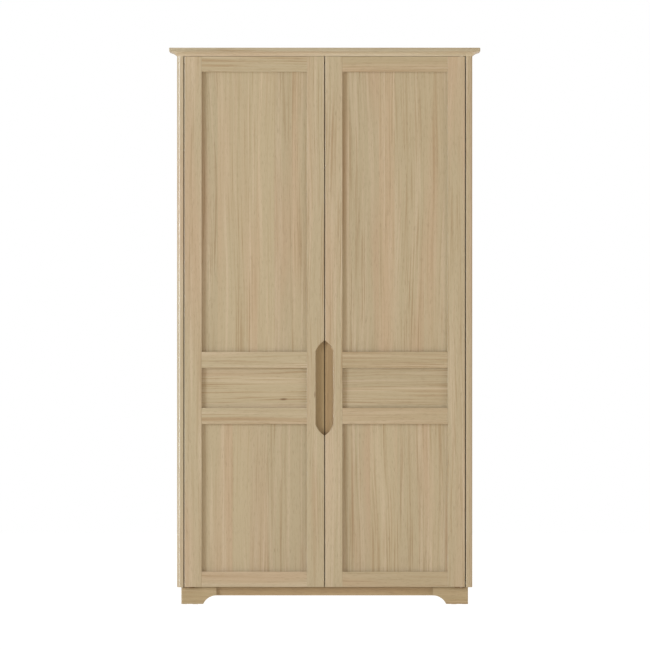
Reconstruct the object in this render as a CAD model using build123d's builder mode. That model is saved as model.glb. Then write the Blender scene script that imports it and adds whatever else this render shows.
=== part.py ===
from build123d import *
import os

os.makedirs("parts", exist_ok=True)

# A free-standing oak wardrobe with two frame-and-panel doors.
# Millimetres. +Z up, the doors face -Y, +X is to the right when facing the doors.
# The origin is on the floor under the middle of the outline.

# Overall sizes
height = 1900.0
overall_width = 1062.0
overall_depth = 600.0
body_width = 1008.0
plinth_height = 58.0
board = 22.0
side_front_radius = 14.0
side_bottom_radius = 2.5
arris = 1.0

# Cornice
lip_thickness = 13.0
lip_radius = 2.0
cove_height = 15.5
cove_projection = 22.0
cove_quirk = 1.0
cove_hollow = 2.5
moulding_depth = 60.0
cornice_rail_depth = 22.0

# Doors
door_thickness = 24.0
side_gap = 3.0
end_gap = 1.0
stile_width = 59.0
rail_height = 55.0
end_rail_height = 52.5
upper_panel_height = 956.0
middle_panel_height = 136.5
door_edge_radius = 2.5
panel_thickness = 8.0
panel_recess = 12.0
groove_depth = 10.0
tongue_play = 0.3

# Grip recess cut across the two meeting stiles
grip_half_width = 31.0
grip_straight = 249.0
grip_end_rise = 38.0
grip_end_radius = 70.0
grip_corner_radius = 12.0
grip_depth = 16.0
grip_floor_radius = 3.0

# Pivot hinges, one at the top and one at the bottom of each door
pivot_from_edge = 12.0
pivot_from_face = 7.0
pin_radius = 3.0
pin_play = 0.05
pin_hole_radius = 3.3
pin_hole_depth = 17.0
pin_reach = 15.0
leaf_length = 42.0
leaf_width = 11.0
leaf_thickness = 2.5
leaf_end = 5.0
leaf_screws_along = (6.0, 20.0)
leaf_screw_length = 21.0
case_screw_length = 10.0
plate_inner_reach = 22.0
plate_outer_reach = 6.0
plate_screws_along = (5.0, 15.0)
plate_screw_length = 19.0
screw_radius = 1.5
screw_head_radius = 2.9
screw_hole_spare = 1.0
washer_radius = 5.0
washer_play = 0.1

# Plinth
plinth_inset = 14.5
foot_length = 120.0
foot_on_floor = 75.0
foot_thickness = 22.0
foot_corner_radius = 3.0
rail_bottom = 30.0
rail_recess = 9.0
plinth_rail_thickness = 18.0
plinth_back = 296.0
corner_block = 38.0
corner_block_bottom = 12.0
glide_thickness = 1.0
glide_radius = 9.0
glide_nail_radius = 1.5
glide_nail_length = 15.0
glide_from_corner = 48.0
glide_from_back = 35.0

# Interior
board_clearance = 5.0
back_thickness = 6.0
back_inset = 8.0
back_groove = 8.0
back_play = 0.5
cover_half_width = 30.0
shelf_top = 1577.0
shelf_setback = 12.0
shelf_front_radius = 3.0
support_inset = 60.0
peg_radius = 2.5
peg_drop = 3.0
peg_hole_depth = 10.0
lug_reach = 9.0
lug_half_width = 5.0
lug_height = 6.0
tube_below_shelf = 60.0
tube_radius = 12.5
tube_wall = 1.2
tube_y = 20.0
socket_flange_radius = 22.0
socket_flange = 3.0
socket_length = 16.0
socket_wall = 2.2
socket_screw_circle = 17.5
socket_screw_head = 2.3
socket_screw_head_height = 1.2
socket_screw_bite = 12.0
cam_radius = 7.5
cam_depth = 12.5
cam_from_end = 34.0
cam_from_face = 45.0
cam_slot_length = 11.0
cam_slot_width = 1.6
cam_slot_depth = 3.0

# Catches and bumpers
catch_x = 70.0
catch_length = 46.0
catch_height = 13.0
catch_depth = 15.0
catch_radius = 1.5
catch_play = 0.3
strike_thickness = 1.2
strike_inset = 2.0
bumper_radius = 4.5
bumper_play = 0.3
bumper_near_x = 40.0
bumper_far_x = 400.0

# Worked-out levels and planes
half_body = body_width / 2
half_inside = half_body - board
front = -overall_depth / 2 + (overall_width - body_width) / 2
back = overall_depth / 2
body_top = height - lip_thickness - cove_height
door_bottom = plinth_height + end_gap
door_top = body_top - end_gap
door_back = front + door_thickness
board_front = door_back + board_clearance
back_panel_rear = back - back_inset
back_panel_front = back_panel_rear - back_thickness
meeting_edge = side_gap / 2
outer_edge = half_inside - side_gap
panel_front = front + panel_recess
shelf_bottom = shelf_top - board
half_plinth = half_body - plinth_inset
plinth_front = front + plinth_inset
moulding_top = body_top + cove_height
tube_z = shelf_bottom - tube_below_shelf
support_ys = (board_front + support_inset, back_panel_front - support_inset)

# Heights of the four rails' lower edges, from the top down
top_rail_z = door_top - end_rail_height
upper_rail_z = top_rail_z - upper_panel_height - rail_height
lower_rail_z = upper_rail_z - middle_panel_height - rail_height
grip_middle = upper_rail_z - middle_panel_height / 2

sides = (("left", -1), ("right", 1))


def save(part, name):
    """Label one finished piece and write its STEP file."""
    part.label = name
    export_step(part, f"parts/{name}.step")


def block(x0, x1, y0, y1, z0, z1, mode=Mode.ADD):
    """A box between two corners, given as low and high pairs in any order."""
    with BuildSketch(Plane.XY.offset(z0)) as outline:
        with Locations(((x0 + x1) / 2, (y0 + y1) / 2)):
            Rectangle(abs(x1 - x0), y1 - y0)
    extrude(outline.sketch, amount=z1 - z0, mode=mode)


def discs(places, radius, z, amount, mode=Mode.ADD):
    """Upright round pieces of one radius at places in plan, from one level."""
    with BuildSketch(Plane.XY.offset(z)) as outline:
        with Locations(*places):
            Circle(radius)
    extrude(outline.sketch, amount=amount, mode=mode)


def screws(places, z, inward, length, mode=Mode.ADD):
    """Countersunk wood screws, flush at one level and driven up (1) or down (-1)."""
    discs(places, screw_radius, z, inward * length, mode)
    with BuildSketch(Plane.XY.offset(z)) as heads:
        with Locations(*places):
            Circle(screw_head_radius)
    extrude(heads.sketch, amount=inward * (screw_head_radius - screw_radius), taper=45, mode=mode)


def vertical_edges_at(part, x, y):
    """The vertical edges of a part that stand at one place in plan."""
    edges = part.edges().filter_by(Axis.Z)
    return [e for e in edges if abs(e.center().X - x) < 0.01 and abs(e.center().Y - y) < 0.01]


def socket_screw_holes(x, amount, radius=screw_radius, mode=Mode.ADD):
    """Three round pieces along X on the hanging rail sockets' screw circle."""
    with BuildSketch(Plane.YZ.offset(x)) as outline:
        with Locations((tube_y, tube_z)):
            with PolarLocations(socket_screw_circle, 3, start_angle=90):
                Circle(radius)
    extrude(outline.sketch, amount=amount, mode=mode)


# Side panels: 22 mm boards with a well rounded front edge, grooved for the back.
for side, s in sides:
    with BuildPart() as panel:
        block(s * half_inside, s * half_body, front, back, plinth_height, body_top)
        fillet(vertical_edges_at(panel, s * half_body, front), radius=side_front_radius)
        fillet(vertical_edges_at(panel, s * half_inside, front), radius=arris)
        bottom_edges = panel.edges().filter_by(lambda e: abs(e.center().Z - plinth_height) < 0.01)
        outer_bottom = [e for e in bottom_edges if abs(e.center().X) > half_body - side_front_radius]
        fillet(outer_bottom, radius=side_bottom_radius)
        groove_to = s * (half_inside + back_groove)
        block(s * half_inside, groove_to, back_panel_front, back_panel_rear, plinth_height, body_top,
              mode=Mode.SUBTRACT)
        with BuildSketch(Plane.YZ.offset(s * half_inside)):
            with Locations(*[(y, shelf_bottom - peg_drop) for y in support_ys]):
                Circle(peg_radius)
        extrude(amount=s * peg_hole_depth, mode=Mode.SUBTRACT)
        socket_screw_holes(s * half_inside, s * (socket_screw_bite + screw_hole_spare), mode=Mode.SUBTRACT)
    save(panel.part, f"{side}_side_panel")

# Top and bottom boards, held to the sides by cam locks let into their inner faces.
cam_ys = (board_front + cam_from_face, tube_y, back_panel_front - cam_from_face)
cam_places = [(s * (half_inside - cam_from_end), y) for _, s in sides for y in cam_ys]
inner_faces = (("top_board", body_top - board, 1), ("bottom_board", plinth_height + board, -1))
for name, face_z, into in inner_faces:
    low = min(face_z, face_z + into * board)
    with BuildPart() as carcass_board:
        block(-half_inside, half_inside, board_front, back_panel_front, low, low + board)
        discs(cam_places, cam_radius, face_z, into * cam_depth, mode=Mode.SUBTRACT)
        front_edges = carcass_board.edges().filter_by(Axis.X).group_by(Axis.Y)[0]
        fillet(front_edges, radius=arris)
    save(carcass_board.part, name)

# Cam locks: zinc drums flush with the board faces, with a cross slot in the end.
with BuildPart() as cams:
    for name, face_z, into in inner_faces:
        discs(cam_places, cam_radius, face_z, into * cam_depth)
        with BuildSketch(Plane.XY.offset(face_z)):
            with Locations(*cam_places):
                Rectangle(cam_slot_length, cam_slot_width)
                Rectangle(cam_slot_width, cam_slot_length)
        extrude(amount=into * cam_slot_depth, mode=Mode.SUBTRACT)
save(cams.part, "cam_locks")

# Cornice board: the flat top with a projecting lip on three sides.
with BuildPart() as cornice:
    half_top = overall_width / 2
    block(-half_top, half_top, -overall_depth / 2, back, moulding_top, height)
    lip_edges = cornice.edges().filter_by(lambda e: e.center().Y < back - 1)
    fillet(lip_edges, radius=lip_radius)
save(cornice.part, "cornice_board")


def moulding_profile(face, inner, outward):
    """Cove moulding section: a shallow arc whose middle lies cove_hollow behind its chord."""
    tip = face + outward * cove_projection
    quirk_z = moulding_top - cove_quirk
    cove_rise = quirk_z - body_top
    chord = (cove_projection**2 + cove_rise**2) ** 0.5
    middle_y = face + outward * (cove_projection / 2 - cove_hollow * cove_rise / chord)
    middle_z = body_top + cove_rise / 2 + cove_hollow * cove_projection / chord
    with BuildLine() as outline:
        ThreePointArc((face, body_top), (middle_y, middle_z), (tip, quirk_z))
        Line((tip, quirk_z), (tip, moulding_top))
        Line((tip, moulding_top), (inner, moulding_top))
        Line((inner, moulding_top), (inner, body_top))
        Line((inner, body_top), (face, body_top))
    make_face(outline.edges())


# Front moulding: runs over the doors and carries the upper pivot leaves.
mitre_reach = cove_projection + 10
leaf_x0 = outer_edge - leaf_end - leaf_length
leaf_x1 = outer_edge - leaf_end
pivot_x = outer_edge - pivot_from_edge
pivot_y = front + pivot_from_face
leaf_y0 = pivot_y - leaf_width / 2
leaf_y1 = pivot_y + leaf_width / 2


def leaf_screw_places(s):
    """Plan positions of the two screws in a pivot leaf."""
    return [(s * (leaf_x0 + along), pivot_y) for along in leaf_screws_along]


def corner_cut(s, keep_front):
    """Cut the cornice's 45 degree mitre and clear what lies on its other side."""
    outer_x = s * (half_body + mitre_reach)
    inner_x = s * half_inside
    low_y = front - mitre_reach
    if keep_front:
        rest = ((inner_x, front + 2 * moulding_depth), (outer_x, front + 2 * moulding_depth))
    else:
        past_x = s * (half_inside - 1)
        rest = ((past_x, front + board), (past_x, low_y))
    with BuildSketch(Plane.XY.offset(body_top)) as region:
        with BuildLine():
            Polyline((outer_x, low_y), (inner_x, front + board), *rest, close=True)
        make_face()
    extrude(region.sketch, amount=cove_height, mode=Mode.SUBTRACT)


with BuildPart() as front_moulding:
    with BuildSketch(Plane.YZ):
        moulding_profile(front, front + moulding_depth, -1)
    extrude(amount=half_body + cove_projection, both=True)
    for _, s in sides:
        corner_cut(s, keep_front=True)
        block(s * leaf_x0, s * leaf_x1, leaf_y0, leaf_y1, body_top, body_top + leaf_thickness,
              mode=Mode.SUBTRACT)
        discs(leaf_screw_places(s), screw_radius, body_top, case_screw_length + screw_hole_spare,
              mode=Mode.SUBTRACT)
save(front_moulding.part, "cornice_front_moulding")

# Side mouldings, mitred to the front one.
for side, s in sides:
    with BuildPart() as side_moulding:
        with BuildSketch(Plane.XZ.offset(-back)):
            moulding_profile(s * half_body, s * half_inside, s)
        extrude(amount=back - front + cove_projection)
        corner_cut(s, keep_front=False)
    save(side_moulding.part, f"cornice_{side}_moulding")

# Rail that closes the cornice at the back.
with BuildPart() as cornice_back:
    block(-half_inside, half_inside, back - cornice_rail_depth, back, body_top, moulding_top)
save(cornice_back.part, "cornice_back_rail")

# Back: two thin panels in the side grooves, joined by a strip screwed on behind.
for side, s in sides:
    with BuildPart() as back_panel:
        block(s * back_play, s * (half_inside + back_groove - back_play), back_panel_front,
              back_panel_rear, plinth_height, body_top)
    save(back_panel.part, f"back_panel_{side}")
with BuildPart() as cover_strip:
    block(-cover_half_width, cover_half_width, back_panel_rear, back, plinth_height, body_top)
save(cover_strip.part, "back_cover_strip")

# Hat shelf on four lugged supports plugged into the sides.
with BuildPart() as shelf:
    shelf_half = half_inside - back_play
    block(-shelf_half, shelf_half, board_front + shelf_setback, back_panel_front, shelf_bottom, shelf_top)
    fillet(shelf.edges().filter_by(Axis.X).group_by(Axis.Y)[0], radius=shelf_front_radius)
save(shelf.part, "hat_shelf")
with BuildPart() as supports:
    for _, s in sides:
        for y in support_ys:
            with BuildSketch(Plane.YZ.offset(s * half_inside)):
                with Locations((y, shelf_bottom - peg_drop)):
                    Circle(peg_radius)
            extrude(amount=s * (peg_hole_depth - back_play))
            block(s * (half_inside - lug_reach), s * half_inside, y - lug_half_width, y + lug_half_width,
                  shelf_bottom - lug_height, shelf_bottom)
save(supports.part, "shelf_supports")

# Hanging rail: a round steel tube held in a flanged socket at each end.
tube_end = half_inside - socket_flange - back_play
with BuildPart() as hanging_tube:
    with BuildSketch(Plane.YZ):
        with Locations((tube_y, tube_z)):
            Circle(tube_radius)
            Circle(tube_radius - tube_wall, mode=Mode.SUBTRACT)
    extrude(amount=tube_end, both=True)
save(hanging_tube.part, "hanging_rail")
with BuildPart() as sockets:
    for _, s in sides:
        flange_x = s * (half_inside - socket_flange)
        with BuildSketch(Plane.YZ.offset(s * half_inside)):
            with Locations((tube_y, tube_z)):
                Circle(socket_flange_radius)
        extrude(amount=-s * socket_flange)
        with BuildSketch(Plane.YZ.offset(flange_x)):
            with Locations((tube_y, tube_z)):
                Circle(tube_radius + pin_play + socket_wall)
                Circle(tube_radius + pin_play, mode=Mode.SUBTRACT)
        extrude(amount=-s * (socket_length - socket_flange))
        socket_screw_holes(flange_x, s * socket_flange, mode=Mode.SUBTRACT)
save(sockets.part, "rail_sockets")
with BuildPart() as socket_screws:
    for _, s in sides:
        flange_x = s * (half_inside - socket_flange)
        socket_screw_holes(flange_x, s * (socket_flange + socket_screw_bite))
        socket_screw_holes(flange_x, -s * socket_screw_head_height, radius=socket_screw_head)
save(socket_screws.part, "rail_socket_screws")


def foot_profile(corner, toward):
    """Bracket foot section: straight on the floor, then a hollow arc up to the rail."""
    inner_low = (corner + toward * foot_on_floor, glide_thickness)
    inner_high = (corner + toward * foot_length, rail_bottom)
    with BuildLine() as outline:
        Line((corner, glide_thickness), inner_low)
        TangentArc(inner_high, inner_low, tangent=(-toward, 0))
        Line(inner_high, (corner + toward * foot_length, plinth_height))
        Line((corner + toward * foot_length, plinth_height), (corner, plinth_height))
        Line((corner, plinth_height), (corner, glide_thickness))
    make_face(outline.edges())


def mitre_cut(s, keep_front):
    """Cut a 45 degree mitre at a front corner of the plinth and round the corner."""
    outer_x, outer_y = s * (half_plinth + 10), plinth_front - 10
    inner_x, inner_y = s * (half_plinth - 3 * board), plinth_front + 3 * board
    far = (outer_x, inner_y) if keep_front else (inner_x, outer_y)
    with BuildSketch(Plane.XY) as wedge:
        with BuildLine():
            Polyline((outer_x, outer_y), (inner_x, inner_y), far, close=True)
        make_face()
    extrude(wedge.sketch, amount=plinth_height, mode=Mode.SUBTRACT)
    corner = (s * half_plinth, plinth_front)
    along_front = (s * (half_plinth - foot_corner_radius), plinth_front)
    along_side = (s * half_plinth, plinth_front + foot_corner_radius)
    with BuildSketch(Plane.XY) as rounding:
        with BuildLine():
            Polyline(along_front, corner, along_side)
            TangentArc(along_front, along_side, tangent=(s, 0))
        make_face()
    extrude(rounding.sketch, amount=plinth_height, mode=Mode.SUBTRACT)


foot_middle = foot_thickness / 2
front_glide = (half_plinth - glide_from_corner, plinth_front + foot_middle)
return_glide = (half_plinth - foot_middle, plinth_front + glide_from_corner)
rear_glide = (half_plinth - foot_middle, plinth_back - glide_from_back)
case_plate_x0 = pivot_x - plate_inner_reach
case_plate_x1 = pivot_x + plate_outer_reach
case_plate_y1 = plinth_front + foot_thickness
case_plate_z = plinth_height - leaf_thickness


def case_screw_places(s):
    """Plan positions of the two screws in a lower case plate."""
    return [(s * (case_plate_x0 + along), plinth_front + foot_middle) for along in plate_screws_along]


def nail_hole(s, place):
    """Blind hole in a foot for a floor glide's nail."""
    discs([(s * place[0], place[1])], glide_nail_radius, glide_thickness,
          glide_nail_length + screw_hole_spare, mode=Mode.SUBTRACT)


def plate_housing(s):
    """Shallow housing in a front foot for the lower pivot plate."""
    block(s * case_plate_x0, s * case_plate_x1, leaf_y0, case_plate_y1, case_plate_z,
          plinth_height, mode=Mode.SUBTRACT)


# Front feet: a face board and a return board, mitred at the corner. Rear feet: one
# board at each side. The front ones are housed for the lower pivot plates.
for side, s in sides:
    with BuildPart() as foot_face:
        with BuildSketch(Plane.XZ.offset(-plinth_front)):
            foot_profile(s * half_plinth, -s)
        extrude(amount=-foot_thickness)
        mitre_cut(s, keep_front=True)
        plate_housing(s)
        discs(case_screw_places(s), screw_radius, plinth_height,
              -(plate_screw_length + screw_hole_spare), mode=Mode.SUBTRACT)
        nail_hole(s, front_glide)
    save(foot_face.part, f"front_{side}_foot")
    with BuildPart() as foot_return:
        with BuildSketch(Plane.YZ.offset(s * half_plinth)):
            foot_profile(plinth_front, 1)
        extrude(amount=-s * foot_thickness)
        mitre_cut(s, keep_front=False)
        plate_housing(s)
        nail_hole(s, return_glide)
    save(foot_return.part, f"{side}_front_foot_return")
    with BuildPart() as rear_foot:
        with BuildSketch(Plane.YZ.offset(s * half_plinth)):
            foot_profile(plinth_back, -1)
        extrude(amount=-s * foot_thickness)
        nail_hole(s, rear_glide)
    save(rear_foot.part, f"{side}_rear_foot")

# Plinth rails, set back behind the faces of the feet.
rail_front = plinth_front + rail_recess
with BuildPart() as front_rail:
    reach = half_plinth - foot_length
    block(-reach, reach, rail_front, rail_front + plinth_rail_thickness, rail_bottom, plinth_height)
save(front_rail.part, "plinth_front_rail")
for side, s in sides:
    with BuildPart() as side_rail:
        outer_x = half_plinth - rail_recess
        block(s * (outer_x - plinth_rail_thickness), s * outer_x, plinth_front + foot_length,
              plinth_back - foot_length, rail_bottom, plinth_height)
    save(side_rail.part, f"plinth_{side}_rail")
with BuildPart() as back_rail:
    reach = half_plinth - foot_thickness
    block(-reach, reach, plinth_back - plinth_rail_thickness, plinth_back, rail_bottom, plinth_height)
save(back_rail.part, "plinth_back_rail")

# Corner blocks glued inside the plinth, clear of the floor.
with BuildPart() as corner_blocks:
    for _, s in sides:
        block_x = half_plinth - foot_thickness
        front_y = plinth_front + foot_thickness
        rear_y = plinth_back - plinth_rail_thickness
        block(s * (block_x - corner_block), s * block_x, front_y, front_y + corner_block,
              corner_block_bottom, plinth_height)
        block(s * (block_x - corner_block), s * block_x, rear_y - corner_block, rear_y,
              corner_block_bottom, plinth_height)
save(corner_blocks.part, "plinth_corner_blocks")

# Floor glides: round plastic pads nailed under the feet.
glide_places = [(s * x, y) for _, s in sides for x, y in (front_glide, return_glide, rear_glide)]
with BuildPart() as glides:
    discs(glide_places, glide_radius, 0, glide_thickness)
    discs(glide_places, glide_nail_radius, glide_thickness, glide_nail_length)
save(glides.part, "floor_glides")

# Case side of the pivots: a leaf let into the cornice over each door, and a plate let
# into the front foot under it, reaching forward below the door.
with BuildPart() as case_leaves:
    for _, s in sides:
        block(s * leaf_x0, s * leaf_x1, leaf_y0, leaf_y1, body_top, body_top + leaf_thickness)
        screws(leaf_screw_places(s), body_top, 1, leaf_thickness, mode=Mode.SUBTRACT)
        block(s * case_plate_x0, s * case_plate_x1, leaf_y0, case_plate_y1, case_plate_z, plinth_height)
        screws(case_screw_places(s), plinth_height, -1, leaf_thickness, mode=Mode.SUBTRACT)
        for level in (body_top, case_plate_z):
            discs([(s * pivot_x, pivot_y)], pin_radius, level, leaf_thickness, mode=Mode.SUBTRACT)
save(case_leaves.part, "pivot_case_leaves")
with BuildPart() as case_screws:
    for _, s in sides:
        screws(leaf_screw_places(s), body_top, 1, case_screw_length)
        screws(case_screw_places(s), plinth_height, -1, plate_screw_length)
save(case_screws.part, "pivot_case_screws")

# Pins, pressed into the case leaves and free to turn in the door leaves, and washers
# that fill the gaps above and below the doors.
pivot_places = [(s * pivot_x, pivot_y) for _, s in sides]
pin_length = leaf_thickness + end_gap + pin_reach
with BuildPart() as pins:
    discs(pivot_places, pin_radius, case_plate_z, pin_length)
    discs(pivot_places, pin_radius, body_top + leaf_thickness, -pin_length)
save(pins.part, "pivot_pins")
with BuildPart() as washers:
    for level, thickness in ((plinth_height, end_gap - washer_play), (body_top, washer_play - end_gap)):
        discs(pivot_places, washer_radius, level, thickness)
        discs(pivot_places, pin_radius, level, thickness, mode=Mode.SUBTRACT)
save(washers.part, "pivot_washers")

# Magnetic catches under the top board, one for each door, and rubber bumpers.
catch_front = door_back + strike_thickness + catch_play
catch_top = body_top - board
with BuildPart() as catches:
    for _, s in sides:
        block(s * catch_x, s * (catch_x + catch_length), catch_front, catch_front + catch_depth,
              catch_top - catch_height, catch_top)
    fillet(catches.edges().filter_by(Axis.Y), radius=catch_radius)
save(catches.part, "magnetic_catches")
bumper_row = plinth_height + board / 2
upper_bumper_row = body_top - board / 2
bumper_places = ((bumper_near_x, bumper_row), (bumper_far_x, bumper_row), (bumper_far_x, upper_bumper_row))
with BuildPart() as bumpers:
    with BuildSketch(Plane.XZ.offset(-board_front)):
        with Locations(*[(s * x, z) for _, s in sides for x, z in bumper_places]):
            Circle(bumper_radius)
    extrude(amount=board_clearance - bumper_play)
save(bumpers.part, "door_bumpers")

# Doors. Stiles run the full height, rails are tongued into them, and the panels
# float in grooves 8 mm behind the faces.
opening_x0 = meeting_edge + stile_width
opening_x1 = outer_edge - stile_width
groove_y0 = panel_front
groove_y1 = panel_front + panel_thickness
tongue = groove_depth - tongue_play
rails = (
    ("top_rail", top_rail_z, door_top, (-1,)),
    ("upper_middle_rail", upper_rail_z, upper_rail_z + rail_height, (-1, 1)),
    ("lower_middle_rail", lower_rail_z, lower_rail_z + rail_height, (-1, 1)),
    ("bottom_rail", door_bottom, door_bottom + end_rail_height, (1,)),
)
panels = (
    ("upper_panel", upper_rail_z + rail_height, top_rail_z),
    ("middle_panel", lower_rail_z + rail_height, upper_rail_z),
    ("lower_panel", door_bottom + end_rail_height, lower_rail_z),
)


def grip_outline(s):
    """Half of the grip recess: straight at the side, with a shallow arc to the blunt point at each end.

    The arc's middle stands off its chord by the sagitta r - sqrt(r^2 - (chord / 2)^2).
    """
    edge_z = grip_straight / 2
    tip_z = edge_z + grip_end_rise
    chord = (grip_half_width**2 + grip_end_rise**2) ** 0.5
    sagitta = grip_end_radius - (grip_end_radius**2 - chord**2 / 4) ** 0.5
    middle_x = grip_half_width / 2 + sagitta * grip_end_rise / chord
    middle_z = edge_z + grip_end_rise / 2 + sagitta * grip_half_width / chord
    corners = {up: (s * grip_half_width, grip_middle + up * edge_z) for up in (-1, 1)}
    tips = {up: (0, grip_middle + up * tip_z) for up in (-1, 1)}
    with BuildLine() as outline:
        Line(corners[-1], corners[1])
        Line(tips[-1], tips[1])
        for up in (-1, 1):
            ThreePointArc(corners[up], (s * middle_x, grip_middle + up * middle_z), tips[up])
    make_face(outline.edges())


def front_edges_along_x(part, *levels):
    """Edges along X on the door's front face, at the given heights."""
    edges = part.edges().filter_by(Axis.X)
    near_front = [e for e in edges if abs(e.center().Y - front) < 0.01]
    return [e for e in near_front if any(abs(e.center().Z - z) < 0.01 for z in levels)]


for side, s in sides:
    # Outer stile, housed at both ends for the pivot leaves and bored for the pins.
    with BuildPart() as outer_stile:
        block(s * opening_x1, s * outer_edge, front, door_back, door_bottom, door_top)
        fillet(vertical_edges_at(outer_stile, s * outer_edge, front), radius=door_edge_radius)
        fillet(front_edges_along_x(outer_stile, door_bottom, door_top), radius=arris)
        fillet(vertical_edges_at(outer_stile, s * outer_edge, door_back), radius=arris)
        fillet(vertical_edges_at(outer_stile, s * opening_x1, front), radius=arris)
        block(s * opening_x1, s * (opening_x1 + groove_depth), groove_y0, groove_y1, door_bottom,
              door_top, mode=Mode.SUBTRACT)
        for level, into in ((door_top, -1), (door_bottom, 1)):
            low = min(level, level + into * leaf_thickness)
            block(s * leaf_x0, s * leaf_x1, leaf_y0, leaf_y1, low, low + leaf_thickness,
                  mode=Mode.SUBTRACT)
            discs([(s * pivot_x, pivot_y)], pin_hole_radius, level, into * pin_hole_depth,
                  mode=Mode.SUBTRACT)
            discs(leaf_screw_places(s), screw_radius, level,
                  into * (leaf_screw_length + screw_hole_spare), mode=Mode.SUBTRACT)
    save(outer_stile.part, f"{side}_door_outer_stile")

    # Meeting stile, with its half of the grip recess.
    with BuildPart() as meeting_stile:
        block(s * meeting_edge, s * opening_x0, front, door_back, door_bottom, door_top)
        fillet(vertical_edges_at(meeting_stile, s * meeting_edge, door_back), radius=arris)
        fillet(vertical_edges_at(meeting_stile, s * opening_x0, front), radius=arris)
        block(s * (opening_x0 - groove_depth), s * opening_x0, groove_y0, groove_y1, door_bottom,
              door_top, mode=Mode.SUBTRACT)
        with BuildSketch(Plane.XZ.offset(-front)) as pocket:
            grip_outline(s)
            corners = [v for v in pocket.vertices() if abs(abs(v.X) - grip_half_width) < 0.01]
            fillet(corners, radius=grip_corner_radius)
        extrude(amount=-grip_depth, mode=Mode.SUBTRACT)
        pocket_edges = [
            e for e in meeting_stile.edges()
            if abs(e.center().X) < grip_half_width + 1 and abs(e.center().Z - grip_middle) < grip_straight
        ]
        floor_edges = [
            e for e in pocket_edges
            if abs(e.center().Y - front - grip_depth) < 0.01 and abs(e.center().X) > meeting_edge + 1
        ]
        fillet(floor_edges, radius=grip_floor_radius)
        rim_edges = [
            e for e in meeting_stile.edges()
            if abs(e.center().Y - front) < 0.01
            and abs(e.center().X) < grip_half_width + 1
            and door_bottom + 1 < e.center().Z < door_top - 1
        ]
        fillet(rim_edges, radius=arris)
    save(meeting_stile.part, f"{side}_door_meeting_stile")

    # Rails, tongued into the stiles and grooved for the panels.
    for name, z0, z1, grooved in rails:
        with BuildPart() as door_rail:
            block(s * opening_x0, s * opening_x1, front, door_back, z0, z1)
            fillet(front_edges_along_x(door_rail, z0, z1), radius=arris)
            block(s * (opening_x0 - tongue), s * (opening_x1 + tongue), groove_y0, groove_y1, z0, z1)
            for edge in grooved:
                low = z0 if edge < 0 else z1 - groove_depth
                block(s * (opening_x0 - groove_depth), s * (opening_x1 + groove_depth), groove_y0,
                      groove_y1, low, low + groove_depth, mode=Mode.SUBTRACT)
        save(door_rail.part, f"{side}_door_{name}")

    # Panels, loose in their grooves.
    for name, z0, z1 in panels:
        with BuildPart() as door_panel:
            block(s * (opening_x0 - tongue), s * (opening_x1 + tongue), groove_y0, groove_y1,
                  z0 - tongue, z1 + tongue)
        save(door_panel.part, f"{side}_door_{name}")

    # Pivot leaves let into the stile's ends, their screws, and the catch's steel plate.
    with BuildPart() as door_leaves:
        for level, into in ((door_top, -1), (door_bottom, 1)):
            low = min(level, level + into * leaf_thickness)
            block(s * leaf_x0, s * leaf_x1, leaf_y0, leaf_y1, low, low + leaf_thickness)
            discs([(s * pivot_x, pivot_y)], pin_radius + pin_play, low, leaf_thickness,
                  mode=Mode.SUBTRACT)
            screws(leaf_screw_places(s), level, into, leaf_thickness, mode=Mode.SUBTRACT)
    save(door_leaves.part, f"{side}_door_pivot_leaves")
    with BuildPart() as leaf_screws:
        for level, into in ((door_top, -1), (door_bottom, 1)):
            screws(leaf_screw_places(s), level, into, leaf_screw_length)
    save(leaf_screws.part, f"{side}_door_leaf_screws")
    with BuildPart() as strike:
        block(s * (catch_x + strike_inset), s * (catch_x + catch_length - strike_inset), door_back,
              door_back + strike_thickness, catch_top - catch_height, catch_top)
    save(strike.part, f"{side}_door_catch_plate")
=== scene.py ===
import math
import bpy
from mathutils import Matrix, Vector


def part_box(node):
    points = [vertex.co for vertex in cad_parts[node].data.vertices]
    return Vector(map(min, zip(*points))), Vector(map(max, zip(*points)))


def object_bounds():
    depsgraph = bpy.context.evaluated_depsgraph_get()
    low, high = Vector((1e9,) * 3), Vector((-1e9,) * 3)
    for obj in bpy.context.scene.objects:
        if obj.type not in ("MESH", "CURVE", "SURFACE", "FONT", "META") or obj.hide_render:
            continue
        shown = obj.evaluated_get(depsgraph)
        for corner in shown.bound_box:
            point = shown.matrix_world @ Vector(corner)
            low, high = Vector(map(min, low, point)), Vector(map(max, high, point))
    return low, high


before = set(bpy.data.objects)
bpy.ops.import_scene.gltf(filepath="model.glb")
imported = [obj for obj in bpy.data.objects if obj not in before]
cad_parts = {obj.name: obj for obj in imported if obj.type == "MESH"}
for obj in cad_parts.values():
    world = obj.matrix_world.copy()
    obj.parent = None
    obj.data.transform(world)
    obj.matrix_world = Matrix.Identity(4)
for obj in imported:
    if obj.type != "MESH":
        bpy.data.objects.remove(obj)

cad_low, cad_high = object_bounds()

# ---------------------------------------------------------------------------------------------
# Side panels: two 22 mm oak boards that stand on the plinth and reach up to the cornice, each
# edge-glued from narrow staves, planed, rounded over along the outer front edge, and finished
# with one satin lacquer like all the oak here.


def shade(red, green, blue):
    """Linear colour for a paint-card colour: a channel c of 0 to 255 becomes about (c / 255) ** 2.2."""
    channels = [c / 255 for c in (red, green, blue)]
    return [c / 12.92 if c <= 0.04045 else ((c + 0.055) / 1.055) ** 2.4 for c in channels] + [1.0]


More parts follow.
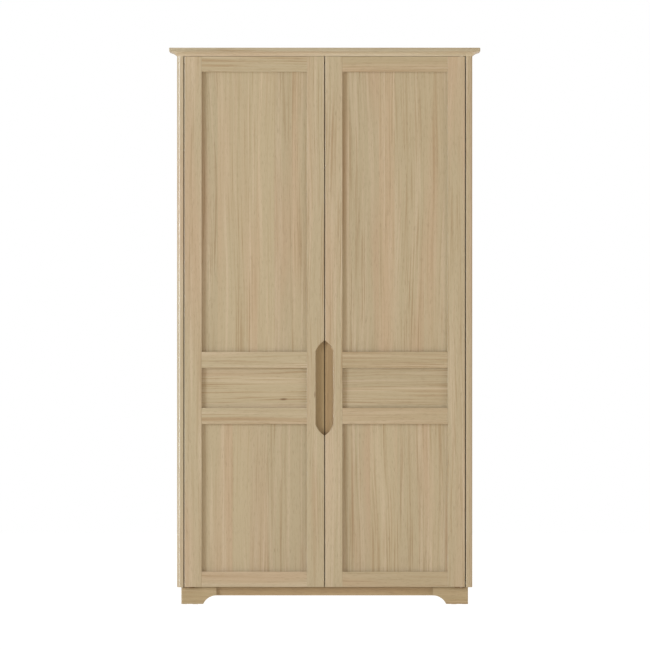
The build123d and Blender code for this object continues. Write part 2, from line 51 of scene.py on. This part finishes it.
class Flow:
    """A socket in a material, on which sums, differences, products and quotients add Math nodes."""

    def __init__(self, tree, socket=None):
        self.tree = tree
        self.socket = socket

    def node(self, kind, settings, sockets, output=0):
        """One node of a kind: its settings go in first, then a value or another flow for each socket."""
        made = self.tree.nodes.new("ShaderNode" + kind)
        for name, value in settings.items():
            setattr(made, name, value)
        for name, value in sockets.items():
            if isinstance(value, Flow):
                self.tree.links.new(value.socket, made.inputs[name])
            else:
                made.inputs[name].default_value = value
        return Flow(self.tree, made.outputs[output])

    def math(self, operation, *values):
        """A Math node fed with these values, or with this flow when there are none."""
        return self.node("Math", {"operation": operation}, dict(enumerate(values or [self])))

    def __add__(self, other):
        return self.math("ADD", self, other)

    def __sub__(self, other):
        return self.math("SUBTRACT", self, other)

    def __rsub__(self, other):
        return self.math("SUBTRACT", other, self)

    def __mul__(self, other):
        return self.math("MULTIPLY", self, other)

    def __truediv__(self, other):
        return self.math("DIVIDE", self, other)

    __radd__ = __add__
    __rmul__ = __mul__

    def between(self, low, high, top=1.0):
        """Rises smoothly from 0 at low to top at high."""
        sockets = {"Value": self, "From Min": low, "From Max": high, "To Max": top}
        return self.node("MapRange", {"interpolation_type": "SMOOTHSTEP"}, sockets)

    def mixed(self, first, second):
        """A colour: first where this flow is 0, second where it is 1."""
        return self.node("Mix", {"data_type": "RGBA"}, {0: self, 6: first, 7: second}, 2)

    def tinted(self, tint):
        """This colour with each channel multiplied by the tint's."""
        sockets = {0: 1.0, 6: self, 7: [*tint, 1.0]}
        return self.node("Mix", {"data_type": "RGBA", "blend_type": "MULTIPLY"}, sockets, 2)


def finish_coat(name, surface, colour, roughness, height, depth, settings):
    """Links colour, roughness and a bump of this depth in metres to a shader with these settings."""
    material, tree = surface
    shader = tree.nodes["Principled BSDF"]
    for socket, value in settings.items():
        shader.inputs[socket].default_value = value
    bump = height.node("Bump", {}, {"Strength": 0.6, "Distance": depth, "Height": height})
    for socket, flow in (("Base Color", colour), ("Roughness", roughness), ("Normal", bump)):
        tree.links.new(flow.socket, shader.inputs[socket])
    material.name = name
    return material


def new_surface():
    """An empty material with its principled shader, and its node tree."""
    material = bpy.data.materials.new("finish")
    material.use_nodes = True
    return material, material.node_tree


def dress(node, material):
    """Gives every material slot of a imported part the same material."""
    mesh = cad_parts[node].data
    mesh.materials.clear()
    mesh.materials.append(material)


grey_oak = shade(188, 174, 142)
pink_oak = shade(192, 171, 140)
pale_oak = shade(203, 187, 158)
late_wood = shade(167, 143, 107)
heart_streak = shade(164, 134, 96)
pore_brown = shade(128, 104, 72)
knot_brown = shade(118, 90, 60)
stave_width = 0.095
stave_unevenness = 0.3
stave_shift = 9.0
board_steps = (1.37, 2.11, 0.83)
sway_reach = 0.05
knots_per_metre = 5.0
knot_stretch = 0.35
knot_core = 0.008
knot_rim = 0.035
grain_depth = 0.00025
AXES = "xyz"


def oak(node, along, across, seed, stave=0.0, tint=(1.0, 1.0, 1.0), contrast=1.0, painted_shade=None):
    """Solid oak for one board, in the board's own stretch of a tree.

    The pattern is shifted by the board's seed, and again for each stave, whose number is
    floor(x / stave + 0.3 sin(2.1 x / stave + seed)) at a distance x across the grain. It also
    sways a little sideways. Noise stretched along the grain gives broad pink and grey zones,
    pale bands, growth lines in groups, brown streaks and pores. Cells give a few pin knots.
    """
    surface = new_surface()
    ground = Flow(surface[1]).node("TexCoord", {}, {}, "Object")
    place = ground
    shift = [seed * step for step in board_steps]
    shade_draw = 0.5
    if stave:
        distance = place.node("SeparateXYZ", {}, {0: place}, AXES.index(across)) / stave
        uneven = stave_unevenness * (distance * 2.1 + seed).math("SINE")
        number = (distance + uneven).math("FLOOR") + seed * 17.3
        one_number = {"noise_dimensions": "1D"}
        draw = number.node("TexWhiteNoise", one_number, {"W": number}, "Color")
        shade_draw = number.node("TexWhiteNoise", one_number, {"W": number + 0.5}, "Value")
        apart = draw.node("VectorMath", {"operation": "SCALE"}, {0: draw, "Scale": stave_shift})
        place = place.node("VectorMath", {"operation": "ADD"}, {0: place, 1: apart})

    def grain(scale, stretch, detail=2.0, roughness=0.5):
        """Noise of this many features a metre across the grain, and stretch times as many along it."""
        size = [stretch if axis == along else 1.0 for axis in AXES]
        spot = place.node("Mapping", {}, {"Vector": place, "Location": shift, "Scale": size})
        sockets = {"Vector": spot, "Scale": scale, "Detail": detail, "Roughness": roughness}
        return place.node("TexNoise", {}, sockets)

    sway = grain(4.0, 0.3, 1.0) * sway_reach
    lean = place.node("CombineXYZ", {}, {AXES.index(across): sway})
    place = place.node("VectorMath", {"operation": "ADD"}, {0: place, 1: lean})
    zones = grain(11.0, 0.10, 1.0).between(0.42, 0.66)
    lines = grain(210.0, 0.014, 3.0, 0.6)
    bands = grain(60.0, 0.025, 2.0)
    pores = grain(1100.0, 0.035, 1.0).between(0.60, 0.72)
    colour = zones.mixed(grey_oak, pink_oak)
    colour = bands.between(0.47, 0.70, 0.60 * contrast).mixed(colour, pale_oak)
    rings = 0.35 + grain(13.0, 0.05, 1.0).between(0.38, 0.62, 0.65)
    colour = (lines.between(0.46, 0.72, 0.92 * contrast) * rings).mixed(colour, late_wood)
    streaks = grain(36.0, 0.022, 2.0).between(0.62, 0.76, 0.55 * contrast)
    colour = streaks.mixed(colour, heart_streak)
    knot_size = [knot_stretch if axis == along else 1.0 for axis in AXES]
    knot_place = place.node("Mapping", {}, {"Vector": place, "Location": shift, "Scale": knot_size})
    cell_sockets = {"Vector": knot_place, "Scale": knots_per_metre}
    cells = knot_place.node("TexVoronoi", {}, cell_sockets, "Distance")
    colour = (1 - cells.between(knot_core, knot_rim)).mixed(colour, knot_brown)
    colour = (pores * 0.4).mixed(colour, pore_brown)
    brightness = 0.95 + 0.10 * shade_draw
    colour = colour.node("HueSaturation", {}, {"Value": brightness, "Color": colour})
    colour = colour.tinted(tint)
    # Where given, this paints shade into the colour, as in the darker grip recess.
    if painted_shade:
        colour = painted_shade(ground, colour)
    roughness = 0.27 + 0.14 * lines + 0.12 * pores
    height = 0.5 * (1 - pores) + 0.5 * (1 - lines)
    lacquer = {"IOR": 1.46, "Coat Weight": 0.6, "Coat Roughness": 0.15}
    dress(node, finish_coat(node + "_oak", surface, colour, roughness, height, grain_depth, lacquer))


for seed, side in enumerate(("left", "right"), 1):
    oak(f"{side}_side_panel", "z", "y", seed, stave_width)

# ---------------------------------------------------------------------------------------------
# Top and bottom boards: 22 mm oak, glued from staves that run from side to side, doweled and
# drawn up to the side panels by cam locks.

oak("top_board", "x", "y", 3, stave_width)
oak("bottom_board", "x", "y", 4, stave_width)

# ---------------------------------------------------------------------------------------------
# Cornice: a flat oak board with eased edges, over a cove moulding run on a spindle moulder and
# mitred at the two front corners. A plain rail closes it at the back. All of it is glued on.

board_tint = (0.99, 1.02, 1.08)
# The mouldings are tinted lighter: painted light on the downward-facing cove, in place of light from
# below.
moulding_painted_light_tint = (1.14, 1.18, 1.25)
oak("cornice_board", "x", "y", 5, stave_width, board_tint)
oak("cornice_front_moulding", "x", "z", 6, tint=moulding_painted_light_tint)
oak("cornice_left_moulding", "y", "z", 7, tint=moulding_painted_light_tint)
oak("cornice_right_moulding", "y", "z", 8, tint=moulding_painted_light_tint)
oak("cornice_back_rail", "x", "z", 9)

# ---------------------------------------------------------------------------------------------
# Back: two sheets of 6 mm oak-faced plywood slid into grooves in the sides, with an oak-faced
# strip over their joint. The veneer is laid in wide leaves.

veneer_width = 0.16
veneer_tint = (1.02, 1.02, 1.02)
for seed, node in enumerate(("back_panel_left", "back_panel_right"), 10):
    oak(node, "z", "x", seed, veneer_width, veneer_tint)
oak("back_cover_strip", "z", "x", 12)

# ---------------------------------------------------------------------------------------------
# Hat shelf: one oak board with a rounded front edge, which rests on four pegs.

oak("hat_shelf", "x", "y", 13, stave_width)

# ---------------------------------------------------------------------------------------------
# Plinth: oak rails set back under the case, with bracket feet at the corners, bandsawn to a
# hollow curve and sanded. Pine blocks glued inside the corners tie them together.

# The feet are tinted darker and yellower: partly a yellower wood, partly painted shade under the
# overhanging case.
foot_wood_and_shade_tint = (0.89, 0.835, 0.725)
foot_contrast = 1.3
feet = ("front_left_foot", "front_right_foot", "left_rear_foot", "right_rear_foot")
for seed, node in enumerate(feet, 14):
    along = "x" if "front" in node else "y"
    oak(node, along, "z", seed, tint=foot_wood_and_shade_tint, contrast=foot_contrast)
for seed, node in enumerate(("left_front_foot_return", "right_front_foot_return"), 18):
    oak(node, "y", "z", seed, tint=foot_wood_and_shade_tint, contrast=foot_contrast)
# The plinth rails are tinted darker and browner: painted shade, for the shade under the overhanging
# case.
rail_painted_shade_tint = (0.82, 0.76, 0.62)
for seed, node in enumerate(("plinth_front_rail", "plinth_back_rail"), 20):
    oak(node, "x", "z", seed, tint=rail_painted_shade_tint)
for seed, node in enumerate(("plinth_left_rail", "plinth_right_rail"), 22):
    oak(node, "y", "z", seed, tint=rail_painted_shade_tint)
pine_tint = (1.15, 1.05, 0.9)
oak("plinth_corner_blocks", "z", "x", 24, tint=pine_tint, contrast=1.3)

# ---------------------------------------------------------------------------------------------
# Door stiles: upright oak boards that run the full height of each door. The two that meet carry
# the grip recess, half in each, cut with a round-nosed cutter.

# The grip's floor and walls are tinted darker: painted shade, standing in for the shade in the deep
# recess.
grip_shade_tint = (0.76, 0.68, 0.53)
grip_half_width = 0.031
grip_half_height = 0.1625
grip_middle = 0.73775
stile_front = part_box("left_door_meeting_stile")[0].y
side_fade = (0.0004, 0.0012)
end_fade = (0.0, 0.001)
face_fade = (0.0008, 0.0035)
floor_fade = (0.0165, 0.0170)


def painted_grip_shade(place, colour):
    """Paints shade into the grip: darkens its floor and walls, and fades out just past its sides, ends,
    face and floor.
    """
    x, y, z = [place.node("SeparateXYZ", {}, {0: place}, axis) for axis in range(3)]
    off_middle = x.math("ABSOLUTE")
    off_height = (z - grip_middle).math("ABSOLUTE")
    inside = 1 - off_middle.between(*[grip_half_width + fade for fade in side_fade])
    level = 1 - off_height.between(*[grip_half_height + fade for fade in end_fade])
    sunk = y.between(*[stile_front + fade for fade in face_fade])
    shallow = 1 - y.between(*[stile_front + fade for fade in floor_fade])
    return (inside * level * sunk * shallow).mixed(colour, colour.tinted(grip_shade_tint))


first_door_board = 30
board = first_door_board
for side in ("left", "right"):
    for piece, painted_shade in (("outer_stile", None), ("meeting_stile", painted_grip_shade)):
        oak(f"{side}_door_{piece}", "z", "x", board, painted_shade=painted_shade)
        board += 1

# ---------------------------------------------------------------------------------------------
# Door rails: four oak rails tenoned between the stiles of each door, with their grain across.

plain_tint = (1.0, 1.0, 1.0)
warm_tint = (0.95, 0.93, 0.90)
for side, tint in (("left", plain_tint), ("right", warm_tint)):
    for piece in ("top_rail", "upper_middle_rail", "lower_middle_rail", "bottom_rail"):
        oak(f"{side}_door_{piece}", "x", "z", board, tint=tint)
        board += 1

# ---------------------------------------------------------------------------------------------
# Door panels: flat oak panels let into grooves in the frame. The tall ones are glued from
# upright staves and the short middle ones from level staves.

panel_stave = 0.085
panel_contrast = 1.1
panel_tint = (0.98, 0.975, 0.965)
for side in ("left", "right"):
    for piece, along, across in (("upper", "z", "x"), ("middle", "x", "z"), ("lower", "z", "x")):
        panel = f"{side}_door_{piece}_panel"
        oak(panel, along, across, board, panel_stave, panel_tint, panel_contrast)
        board += 1

# ---------------------------------------------------------------------------------------------
# Metal: zinc-plated cam locks, shelf pegs, screws and catch plates, antique bronze pivot leaves
# and pins, and a chromed tube in its sockets. Plating leaves a mottle, and rolling a brushed grain.

brush_depth = 0.00005
even = (1, 1, 1)


def metal(nodes, name, light, dark, rough, stretch, scale):
    """Metal whose colour and roughness follow noise of this scale, times stretch along each axis."""
    surface = new_surface()
    place = Flow(surface[1]).node("TexCoord", {}, {}, "Object")
    spot = place.node("Mapping", {}, {"Vector": place, "Scale": stretch})
    mottle = place.node("TexNoise", {}, {"Vector": spot, "Scale": scale, "Detail": 3.0})
    clouds = place.node("TexNoise", {}, {"Vector": place, "Scale": 60.0, "Detail": 2.0})
    colour = (0.6 * mottle + 0.4 * clouds).between(0.3, 0.7).mixed(dark, light)
    roughness = rough + 0.12 * (mottle - 0.5) + 0.10 * (clouds - 0.5)
    material = finish_coat(name, surface, colour, roughness, mottle, brush_depth, {"Metallic": 1.0})
    for node in nodes:
        dress(node, material)


zinc_nodes = ["cam_locks", "shelf_supports", "rail_socket_screws", "pivot_case_screws",
              "left_door_leaf_screws", "right_door_leaf_screws",
              "left_door_catch_plate", "right_door_catch_plate"]
zinc_light = shade(205, 206, 203)
zinc_dark = shade(168, 170, 172)
metal(zinc_nodes, "zinc_plate", zinc_light, zinc_dark, 0.34, even, 900.0)
pivot_nodes = ["pivot_case_leaves", "pivot_pins", "left_door_pivot_leaves", "right_door_pivot_leaves"]
bronze_light = shade(158, 130, 96)
bronze_dark = shade(138, 112, 80)
metal(pivot_nodes, "antique_bronze", bronze_light, bronze_dark, 0.42, (0.03, 1, 1), 2200.0)
chrome_nodes = ["hanging_rail", "rail_sockets"]
chrome_light = shade(226, 227, 228)
chrome_dark = shade(206, 208, 210)
metal(chrome_nodes, "chrome_plate", chrome_light, chrome_dark, 0.12, (0.02, 1, 1), 1500.0)

# ---------------------------------------------------------------------------------------------
# Plastic and rubber: moulded glides under the feet, nylon washers on the pivots, brown catch
# housings and soft clear bumpers that the doors close against. Mould faces are finely sparked.

skin_depth = 0.00006


def moulded(nodes, name, light, dark, rough):
    """Moulded plastic or rubber with a fine spark-eroded skin and slow clouds in its colour."""
    surface = new_surface()
    place = Flow(surface[1]).node("TexCoord", {}, {}, "Object")
    skin = place.node("TexNoise", {}, {"Vector": place, "Scale": 2500.0, "Detail": 2.0})
    clouds = place.node("TexNoise", {}, {"Vector": place, "Scale": 90.0, "Detail": 2.0})
    colour = clouds.between(0.3, 0.7).mixed(dark, light)
    roughness = rough + 0.15 * (skin - 0.5)
    material = finish_coat(name, surface, colour, roughness, skin, skin_depth, {})
    for node in nodes:
        dress(node, material)


moulded(["floor_glides"], "white_plastic", shade(224, 222, 214), shade(212, 209, 200), 0.5)
moulded(["pivot_washers"], "nylon", shade(218, 214, 202), shade(205, 200, 186), 0.45)
moulded(["magnetic_catches"], "brown_plastic", shade(112, 84, 60), shade(96, 70, 48), 0.5)
moulded(["door_bumpers"], "clear_rubber", shade(206, 202, 192), shade(190, 186, 174), 0.35)

# ---------------------------------------------------------------------------------------------
# Floor: a wide sheet of white studio paper.

floor_reach = 30.0
paper_glow = 0.35
white_to_eye = 1.12
share_to_eye = 0.85
turns = ((-1, -1), (1, -1), (1, 1), (-1, 1))
corners = [(sx * floor_reach, sy * floor_reach, 0.0) for sx, sy in turns]
floor_mesh = bpy.data.meshes.new("floor")
floor_mesh.from_pydata(corners, [], [(0, 1, 2, 3)])
floor = bpy.data.objects.new("floor", floor_mesh)
bpy.context.scene.collection.objects.link(floor)
paper, tree = new_surface()
paper.name = "studio_paper"
paper_shader = tree.nodes["Principled BSDF"]
paper_shader.inputs["Base Color"].default_value = shade(225, 225, 225)
paper_shader.inputs["Roughness"].default_value = 0.9
paper_shader.inputs["Emission Color"].default_value = (1.0, 0.89, 0.77, 1.0)
paper_shader.inputs["Emission Strength"].default_value = paper_glow
start = Flow(tree)
seen = start.node("LightPath", {}, {}, "Is Camera Ray")
glow = start.node("Emission", {}, {"Color": (1, 1, 1, 1), "Strength": white_to_eye})
diffuse = Flow(tree, paper_shader.outputs[0])
sheet = start.node("MixShader", {}, {0: seen * share_to_eye, 1: diffuse, 2: glow})
tree.links.new(sheet.socket, tree.nodes["Material Output"].inputs["Surface"])
floor_mesh.materials.append(paper)

# ---------------------------------------------------------------------------------------------
# Studio light: even light from all round, a tall soft box at the left that rakes across the
# doors, a weaker one at the right, and one overhead behind the doors that lights the top.

scene = bpy.context.scene
scene.view_settings.view_transform = "Standard"
scene.view_settings.look = "None"
studio = bpy.data.worlds.new("studio")
studio.use_nodes = True
scene.world = studio
sky = Flow(studio.node_tree)
around = studio.node_tree.nodes["Background"]
around.inputs["Strength"].default_value = 1.0
sky_seen = sky.node("LightPath", {}, {}, "Is Camera Ray")
warm_room = (0.465, 0.385, 0.315, 1)
white_backdrop = (1, 1, 1, 1)
sky_colour = sky_seen.mixed(warm_room, white_backdrop)
studio.node_tree.links.new(sky_colour.socket, around.inputs["Color"])

box_distance = 12.0
box_height = 10.0
box_middle = 1.0


def soft_box(name, angle, width, power, colour):
    """A tall area light, this many degrees round from straight in front, that faces the doors."""
    data = bpy.data.lights.new(name, "AREA")
    data.color = colour
    data.shape = "RECTANGLE"
    data.size = width
    data.size_y = box_height
    data.energy = power
    lamp = bpy.data.objects.new(name, data)
    turn = math.radians(angle)
    off_side = box_distance * math.sin(turn)
    lamp.location = (off_side, cad_low.y - box_distance * math.cos(turn), box_middle)
    lamp.rotation_euler = (math.pi / 2, 0.0, turn)
    lamp.visible_camera = False
    scene.collection.objects.link(lamp)


soft_box("key_box", -57.0, 3.4, 1370.0, (0.885, 1.0, 1.14))
soft_box("fill_box", 60.0, 3.6, 340.0, (1.0, 0.98, 0.95))

top_light = bpy.data.lights.new("top_box", "AREA")
top_light.shape = "RECTANGLE"
top_light.size = 3.0
top_light.size_y = 2.4
top_light.energy = 110.0
top_lamp = bpy.data.objects.new("top_box", top_light)
top_lamp.location = (0.0, 1.5, 7.0)
top_lamp.visible_camera = False
scene.collection.objects.link(top_lamp)

# ---------------------------------------------------------------------------------------------
# Camera: level, square to the doors, and so far away that the sides stay out of sight.

camera_distance = 90.0
view_width = 2.219
camera_data = bpy.data.cameras.new("camera")
camera_data.sensor_width = 36.0
camera_data.lens = camera_data.sensor_width * camera_distance / view_width
camera_data.clip_end = 400.0
camera = bpy.data.objects.new("camera", camera_data)
door_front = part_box("left_door_outer_stile")[0].y
camera.location = (0.0011, door_front - camera_distance, 0.9534)
camera.rotation_euler = (math.pi / 2, 0.0, 0.0)
scene.collection.objects.link(camera)
scene.camera = camera
